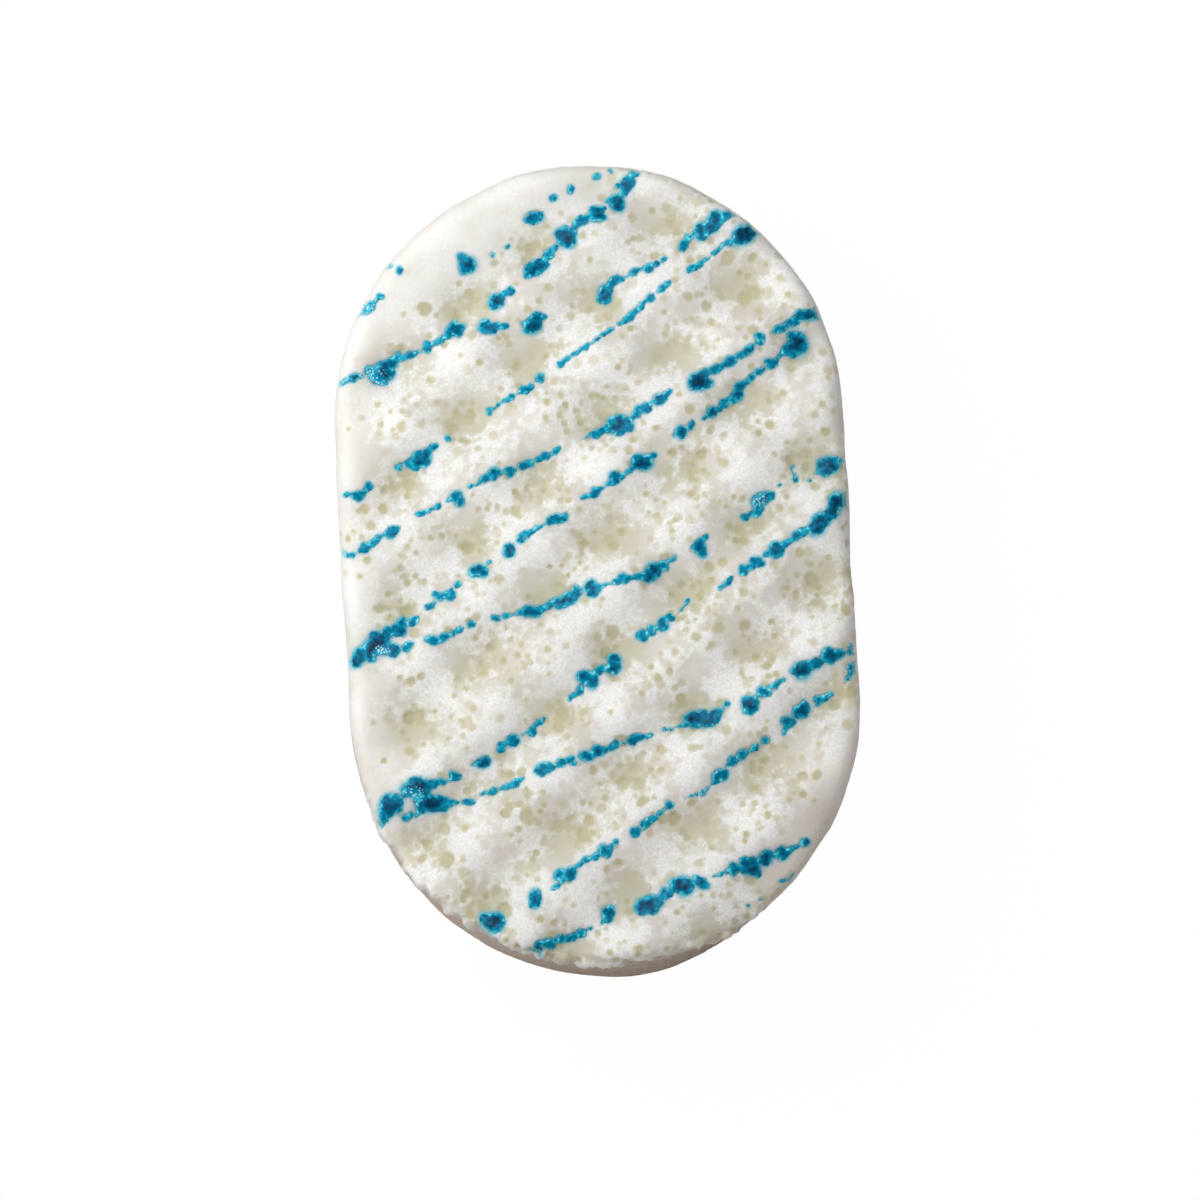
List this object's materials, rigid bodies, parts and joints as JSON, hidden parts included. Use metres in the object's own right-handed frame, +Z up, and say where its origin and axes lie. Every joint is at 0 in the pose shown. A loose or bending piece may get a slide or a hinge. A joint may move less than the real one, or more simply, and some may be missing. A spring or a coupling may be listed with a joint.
{
  "type": "soap sponge",
  "caption": "Oval foam sponge soaked with soap, with an egg-crate top face and a drizzle of blue soap across it, for washing the body.",
  "frame": {"origin": "middle of the flat base, at the lowest point of the part", "axes": "+Y along the length of the oval, +X across it, +Z up from the base to the egg-crate face"},
  "size_m": [0.09, 0.142, 0.0432],
  "materials": {
    "foam": "matte open-cell foam filled with pale soap",
    "blue_soap": "glossy translucent soap"
  },
  "bodies": {
    "root": {"sponge": "foam", "drizzle": "blue_soap"}
  },
  "joints": []
}
